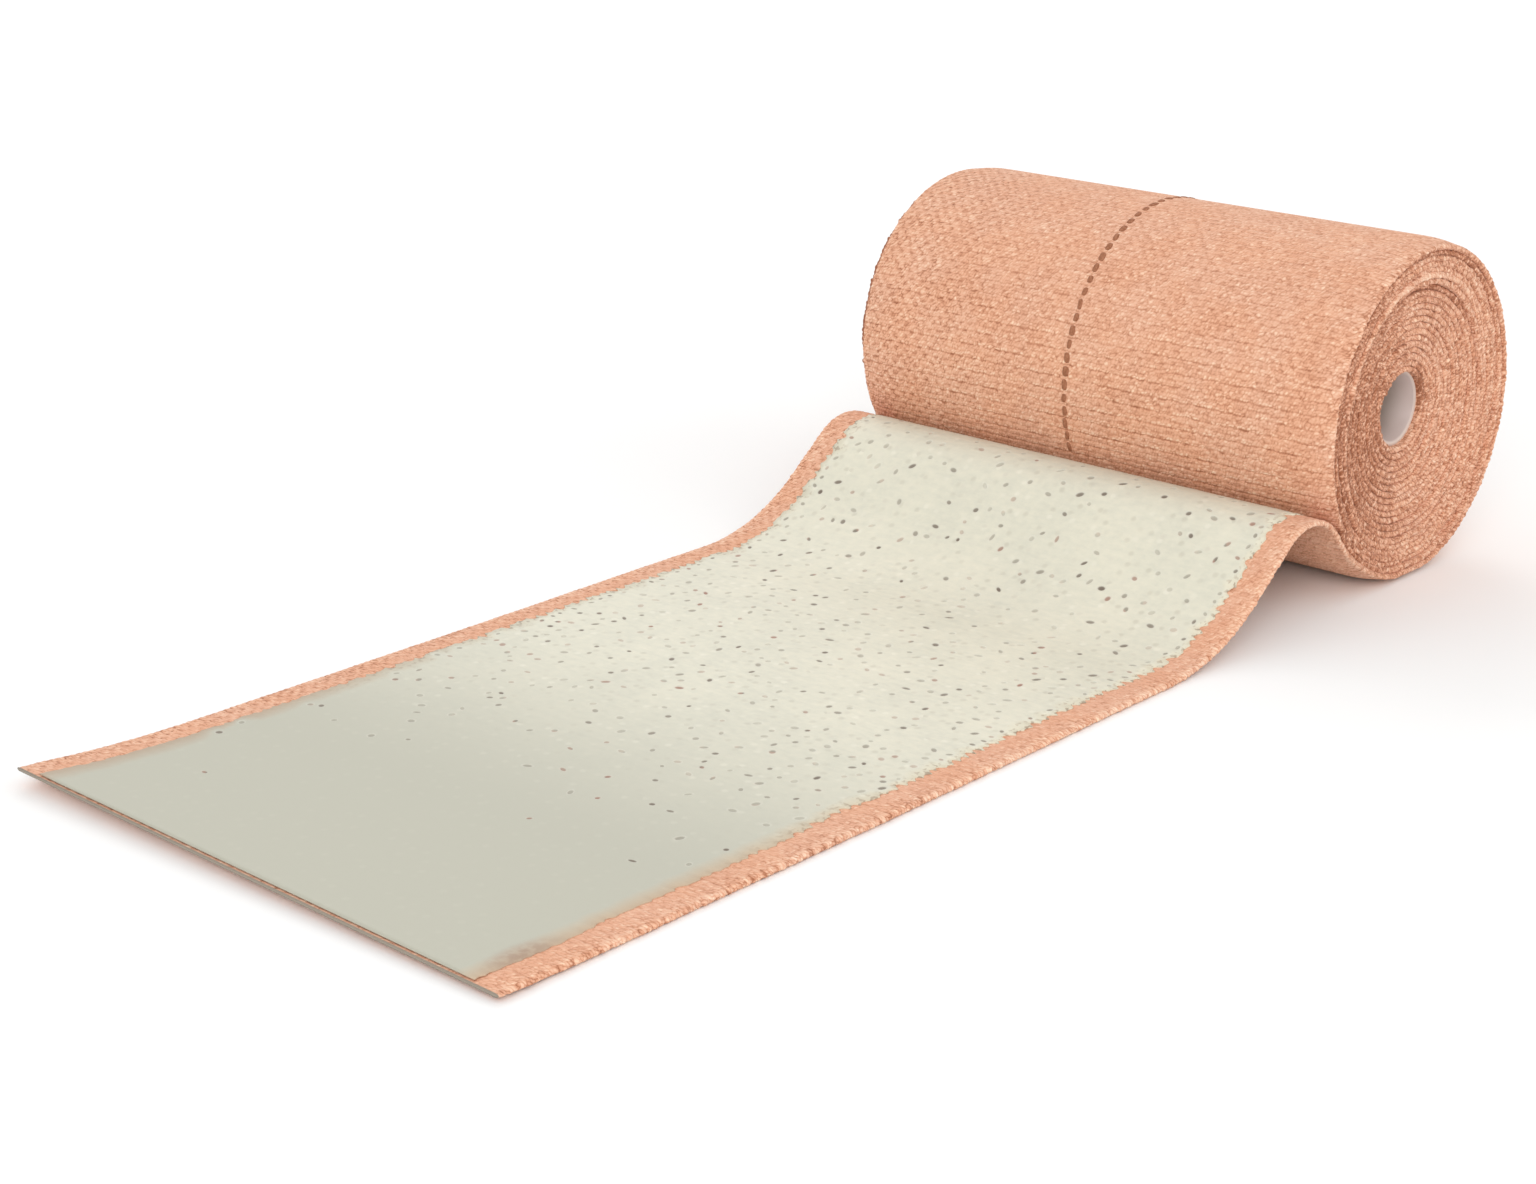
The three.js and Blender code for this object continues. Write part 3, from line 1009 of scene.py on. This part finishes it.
def cloth_tone(s, uv, u, v, cloth):
    """How light the cloth is, from 0 to 1."""
    chance, knot = cloth.chance, cloth.knot
    edge = s.stored("edge")
    inland = s.math("SUBTRACT", 1.0, edge)
    low_on_roll = s.span(u, LOW_ON_ROLL)
    far_end = s.span(v, FAR_END)

    # the grooves show most low on the roll and in broken lines, and the gaps between knots at its far end
    long_patch = s.noise(s.vector("MULTIPLY", uv, (0.5, 0.13, 0.0)), 1.0, 2.0)
    broken = s.times(s.span(long_patch, (0.36, 0.62), (0.1, 1.0)), inland)
    broken = s.times(broken, s.span(chance[2], (0.1, 0.7), (0.35, 1.25)))
    lined = s.times(low_on_roll, s.scaled(far_end, -0.6, 1.0))
    lined = s.times(lined, s.span(v, NEAR_RIM, (0.55, 1.0)))
    groove_strength = s.times(s.scaled(lined, -0.14, -0.06), broken)
    rib_strength = s.times(s.scaled(low_on_roll, 0.04, 0.05), inland)
    diamond_strength = s.times(s.scaled(far_end, 0.075, 0.045), inland)
    after_groove = s.scaled(s.math("COSINE", s.math("SUBTRACT", cloth.phase, 0.9)), 0.5, 0.5)
    beside = s.math("POWER", after_groove, 6.0)
    bright_row = s.times(s.times(beside, knot), s.math("GREATER_THAN", chance[2], 0.45))
    tone = s.total(
        0.5,
        (s.math("SUBTRACT", chance[0], 0.5), s.scaled(edge, 0.22, 0.2)),
        (s.math("SUBTRACT", knot, 0.6), s.scaled(edge, 0.12, 0.14)),
        (s.math("SUBTRACT", cloth.rib, 0.5), rib_strength),
        (cloth.groove, groove_strength),
        # painted shade: the cloth a little darker low on the roll
        (low_on_roll, -0.02),
        (cloth.diamond, diamond_strength),
        (s.math("SUBTRACT", cloth.fibre, 0.5), 0.34),
        (cloth.strand, 0.035),
        (s.math("SUBTRACT", s.noise(uv, 0.075, 1.0), 0.5), 0.08),
        (s.math("SUBTRACT", s.noise(uv, 0.4, 2.0), 0.5), 0.08),
        (s.times(cloth.gap, s.span(chance[1], (0.62, 0.7))), s.scaled(far_end, -0.2, -0.12)),
        (s.times(knot, s.span(chance[1], (0.22, 0.14))), 0.24),
        (bright_row, s.scaled(lined, 0.3, 0.04)),
        # the stored painted shade, and painted highlight where it is below 0
        (s.stored("seam"), -0.5),
    )
    soaked = s.times(s.stored("soaked"), 0.4)
    return s.math("ADD", s.times(tone, s.math("SUBTRACT", 1.0, soaked)), s.times(soaked, 0.5))


def cloth_material():
    s = Shader("bandage_cloth")
    uv, u, v = s.strip_map()
    cloth = weave(s, uv, u, v)
    color = s.ramp(cloth_tone(s, uv, u, v, cloth), [
        (0.0, (0.33, 0.125, 0.064)),
        (0.25, (0.53, 0.238, 0.138)),
        (0.5, (0.755, 0.405, 0.265)),
        (1.0, (0.92, 0.66, 0.48)),
    ])
    hue = s.span(s.noise(uv, 0.11, 2.0), (0.35, 0.65))
    tint = s.mix(hue, (1.0, 0.975, 0.95), (1.0, 1.015, 1.03))
    color = s.vector("MULTIPLY", color, tint)
    # painted shadow: the cut face is coloured dark grey as if in shade
    color = s.mix(s.stored("cut"), color, (0.31, 0.27, 0.22))
    height = s.total((cloth.knot, 0.7), (cloth.rib, 0.5), (cloth.groove, -0.5), (cloth.fibre, 0.4),
                     (cloth.strand, 0.12))
    return s.surface(Base_Color=color, Roughness=0.92, Normal=s.bump(0.55, 0.1 * MM, height),
                     Specular_IOR_Level=0.2, Sheen_Weight=0.12, Sheen_Roughness=0.5,
                     Sheen_Tint=(1.0, 0.82, 0.72))


def closed_marks(s, uv, last, color):
    """Faint marks where a pinhole has nearly closed again, some darker and some lighter than the coat."""
    marks = s.add("ShaderNodeTexVoronoi", {"voronoi_dimensions": "2D"}, Vector=uv, Scale=0.45)
    kinds = s.add("ShaderNodeSeparateColor", Color=marks.outputs["Color"]).outputs
    soft_spot = s.span(marks.outputs["Distance"], (0.36, 0.08))
    open_coat = s.times(soft_spot, s.scaled(last, -0.9, 1.0))
    dull = s.times(open_coat, s.span(kinds[0], (0.45, 1.0), (0.0, 0.32)))
    light = s.times(open_coat, s.span(kinds[1], (0.5, 1.0), (0.0, 0.45)))
    color = s.mix(light, color, (0.82, 0.79, 0.67))
    return s.mix(dull, color, (0.42, 0.385, 0.30))


def coat_fringe(s, uv, last, color):
    """The coat's thin border, where the cloth shows through, with dark dots of painted shadow where the
    cloth's knots meet it.
    """
    fringe = s.times(s.stored("fringe"), s.scaled(last, 0.3, 0.4))
    color = s.mix(fringe, color, s.mix(last, (0.80, 0.70, 0.50), (0.62, 0.43, 0.28)))
    # painted shadow: dark dots along the border
    shadow_dot = s.span(s.noise(uv, 1.1, 1.0), (0.55, 0.68))
    shadow_dot = s.times(s.times(shadow_dot, fringe), s.scaled(last, -1.7, 1.7))
    return s.mix(shadow_dot, color, (0.30, 0.20, 0.13))


def stain(s, u, v, smudge, color):
    """A brown smear at the near corner of the cut end."""
    squares = [
        s.math("POWER", s.scaled(position, 1 / size, -middle / size), 2.0)
        for position, middle, size in zip((u, v), STAIN_MIDDLE, STAIN_SIZE)
    ]
    distance = s.math("SQRT", s.math("ADD", *squares))
    strength = s.times(s.span(distance, (1.0, 0.1)), s.span(smudge, (0.3, 0.6), (0.35, 0.7)))
    return s.mix(strength, color, (0.37, 0.245, 0.18))


def coat_material():
    s = Shader("adhesive_coat")
    uv, u, v = s.strip_map()
    streak = s.add("ShaderNodeMapping", Vector=uv, Scale=(1.0, 0.35, 1.0)).outputs[0]
    grain = s.noise(streak, 0.9, 3.0, 0.6)
    smudge = s.noise(uv, 0.7, 2.0, 0.6)
    tone = s.total((s.noise(uv, 0.06, 2.0), 0.34), (grain, 0.38), (smudge, 0.28))
    color = s.ramp(tone, [
        (0.25, (0.61, 0.60, 0.50)),
        (0.5, (0.69, 0.67, 0.55)),
        (0.75, (0.76, 0.725, 0.59)),
    ])
    last = s.span(u, LAST_STRETCH)
    # painted shade: the coat greyer on the last flat stretch than on the slope
    color = s.mix(last, color, (0.48, 0.472, 0.387))
    color = closed_marks(s, uv, last, color)
    color = coat_fringe(s, uv, last, color)
    # painted highlight on the pinholes' raised rims
    color = s.mix(s.times(s.stored("halo"), 0.3), color, (0.82, 0.80, 0.70))
    color = stain(s, u, v, smudge, color)
    # the pinholes are painted dark: the cloth seen through them, darkened with painted shade
    reddish = s.span(s.noise(uv, 0.19, 1.0), (0.56, 0.62))
    color = s.mix(s.stored("pit"), color, s.mix(reddish, (0.16, 0.12, 0.09), (0.33, 0.16, 0.115)))
    return s.surface(Base_Color=color, Roughness=0.55, Normal=s.bump(0.35, 0.08 * MM, grain),
                     Specular_IOR_Level=0.35)


def yarn_material():
    s = Shader("guide_yarn")
    _, twist = s.cloud(2600.0, 2.0)
    color = s.ramp(twist, [(0.3, (0.27, 0.105, 0.052)), (0.7, (0.42, 0.185, 0.105))])
    return s.surface(Base_Color=color, Roughness=0.9, Specular_IOR_Level=0.2)


def core_material():
    s = Shader("core_tube")
    # the core is coloured dark and pinkish: painted shade and a painted pink reflection of the cloth in the
    # bore
    place_in, cloud = s.cloud(120.0, 3.0)
    color = s.ramp(cloud, [(0.3, (0.55, 0.445, 0.41)), (0.7, (0.61, 0.50, 0.465))])
    _, y, _ = s.split(place_in)
    depth = s.math("MINIMUM", s.math("SUBTRACT", y, core_low.y), s.math("SUBTRACT", core_high.y, y))
    # painted shade, darker deeper in the bore
    color = s.mix(s.span(depth, (0.0, CORE_SHADE_DEPTH)), color, (0.23, 0.18, 0.13))
    # the lips at the ends are lighter, with less painted shade
    color = s.mix(s.stored("lip"), color, (0.66, 0.54, 0.47))
    return s.surface(Base_Color=color, Roughness=0.5, Normal=s.bump(0.2, 0.05 * MM, cloud))


def floor_material():
    s = Shader("floor")
    _, cloud = s.cloud(3.0, 2.0)
    color = s.ramp(cloud, [(0.3, (0.93, 0.93, 0.925)), (0.7, (0.95, 0.95, 0.945))])
    return s.surface(Base_Color=color, Roughness=0.85, Specular_IOR_Level=0.1)


def turn_towards(thing, direction):
    thing.rotation_euler = direction.to_track_quat("-Z", "Y").to_euler()


def add_area_light(name, place_at, aim, size, power):
    data = bpy.data.lights.new(name, "AREA")
    data.energy = power
    data.shape = "DISK"
    data.size = size
    light = bpy.data.objects.new(name, data)
    light.location = place_at
    turn_towards(light, Vector(aim) - Vector(place_at))
    bpy.context.scene.collection.objects.link(light)


def build_floor():
    mesh = bpy.data.meshes.new("floor")
    corners = [(-1, -1), (1, -1), (1, 1), (-1, 1)]
    mesh.from_pydata([(x * FLOOR_REACH, y * FLOOR_REACH, 0) for x, y in corners], [], [(0, 1, 2, 3)])
    floor = bpy.data.objects.new("floor", mesh)
    floor.data.materials.append(floor_material())
    bpy.context.scene.collection.objects.link(floor)
    return floor


def build_stage():
    floor = build_floor()
    world = bpy.data.worlds.new("studio")
    bpy.context.scene.world = world
    world.use_nodes = True
    background = world.node_tree.nodes["Background"]
    background.inputs[0].default_value = (1, 1, 1, 1)
    background.inputs[1].default_value = WORLD_STRENGTH
    for light in LIGHTS:
        add_area_light(*light)


def build_camera():
    data = bpy.data.cameras.new("camera")
    data.sensor_width = 36
    data.lens = CAMERA_LENS
    camera = bpy.data.objects.new("camera", data)
    camera.location = (AXIS_X - CAMERA_BEFORE_AXIS, CAMERA_Y, CAMERA_HEIGHT)
    heading = (math.cos(CAMERA_HEADING), math.sin(CAMERA_HEADING), -math.tan(CAMERA_LOOK_DOWN))
    turn_towards(camera, Vector(heading))
    bpy.context.scene.collection.objects.link(camera)
    bpy.context.scene.camera = camera


build_camera()
cloth = cloth_material()

wound_turns = build_wound_turns()
wound_turns.data.materials.append(cloth)
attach(wound_turns, "root")

strip_end = build_strip_end()
strip_end.data.materials.append(cloth)
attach(strip_end, "root")

coat = build_coat()
coat.data.materials.append(coat_material())
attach(coat, "root")

guide_line = build_guide_line()
guide_line.data.materials.append(yarn_material())
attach(guide_line, "root")

core_tube = build_core()
core_tube.data.materials.append(core_material())
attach(core_tube, "root")

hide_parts("wound_roll")
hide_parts("loose_end")
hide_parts("core")

build_stage()
bpy.context.scene.view_settings.view_transform = "Standard"
